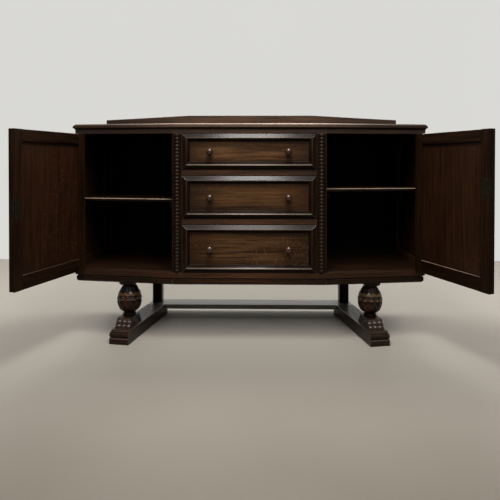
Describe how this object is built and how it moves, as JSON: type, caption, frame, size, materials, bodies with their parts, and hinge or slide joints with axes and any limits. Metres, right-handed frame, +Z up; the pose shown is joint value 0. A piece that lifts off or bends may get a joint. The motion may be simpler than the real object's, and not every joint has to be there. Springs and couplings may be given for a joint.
{
  "type": "sideboard",
  "caption": "Sideboard with a canted front: drawers between panelled cupboards, low back gallery, bulbous turned front legs and splayed sledge feet.",
  "frame": {"origin": "on the floor, under the middle of the whole object's box with the doors open as pictured", "axes": "+X to the right of a viewer in front, +Y to the back, +Z up"},
  "size_m": [1.5378, 0.7506, 0.9],
  "materials": {
    "case_oak": "dark stained oak with a worn semi-matt polish",
    "panel_oak": "stained oak with ray fleck, semi-matt polish",
    "base_oak": "very dark stained oak, semi-matt polish",
    "inner_oak": "plain unpolished oak",
    "brass": "tarnished brass",
    "steel": "dull steel"
  },
  "bodies": {
    "carcase": {"top_board": "case_oak", "back_gallery": "case_oak", "back_panel": "inner_oak", "left_end_frame": "case_oak", "left_end_panel": "panel_oak", "right_end_frame": "case_oak", "right_end_panel": "panel_oak", "left_partition": "inner_oak", "right_partition": "inner_oak", "bottom_board": "inner_oak", "leg_bearers": "inner_oak", "frieze_rail": "case_oak", "left_centre_post": "case_oak", "right_centre_post": "case_oak", "left_bead_strip": "case_oak", "right_bead_strip": "case_oak", "drawer_rails": "case_oak", "base_rail": "case_oak", "base_moulding": "base_oak", "left_shelf": "case_oak", "right_shelf": "case_oak", "shelf_battens": "inner_oak", "drawer_runners": "inner_oak", "drawer_stops": "inner_oak", "left_sled_rail": "base_oak", "right_sled_rail": "base_oak", "left_foot_block": "base_oak", "right_foot_block": "base_oak", "left_turned_leg": "base_oak", "right_turned_leg": "base_oak", "left_rear_post": "base_oak", "right_rear_post": "base_oak", "stretcher": "base_oak", "case_hinge_leaves": "brass"},
    "left_door": {"left_door_stiles": "case_oak", "left_door_rails": "case_oak", "left_door_panel": "panel_oak", "left_door_moulding": "case_oak", "left_door_hinge_leaves": "brass", "left_door_lock": "brass", "left_door_lock_bolt": "steel"},
    "right_door": {"right_door_stiles": "case_oak", "right_door_rails": "case_oak", "right_door_panel": "panel_oak", "right_door_moulding": "case_oak", "right_door_hinge_leaves": "brass", "right_door_lock": "brass", "right_door_lock_bolt": "steel"},
    "top_drawer": {"top_drawer_front": "panel_oak", "top_drawer_moulding": "case_oak", "top_drawer_box": "inner_oak", "top_drawer_knobs": "case_oak"},
    "middle_drawer": {"middle_drawer_front": "panel_oak", "middle_drawer_moulding": "case_oak", "middle_drawer_box": "inner_oak", "middle_drawer_knobs": "case_oak"},
    "bottom_drawer": {"bottom_drawer_front": "panel_oak", "bottom_drawer_moulding": "case_oak", "bottom_drawer_box": "inner_oak", "bottom_drawer_knobs": "case_oak"}
  },
  "joints": [
    {"name": "left_door_hinge", "type": "hinge", "parent": "carcase", "child": "left_door", "pos_m": [-0.66729, -0.0133, 0.5325], "axis": [0, 0, 1], "range_deg": [-72, 98]},
    {"name": "right_door_hinge", "type": "hinge", "parent": "carcase", "child": "right_door", "pos_m": [0.64881, -0.0133, 0.5325], "axis": [0, 0, 1], "range_deg": [-101, 69]},
    {"name": "top_drawer_slide", "type": "slide", "parent": "carcase", "child": "top_drawer", "axis": [0, -1, 0], "range_m": [0, 0.3]},
    {"name": "middle_drawer_slide", "type": "slide", "parent": "carcase", "child": "middle_drawer", "axis": [0, -1, 0], "range_m": [0, 0.3]},
    {"name": "bottom_drawer_slide", "type": "slide", "parent": "carcase", "child": "bottom_drawer", "axis": [0, -1, 0], "range_m": [0, 0.3]}
  ]
}
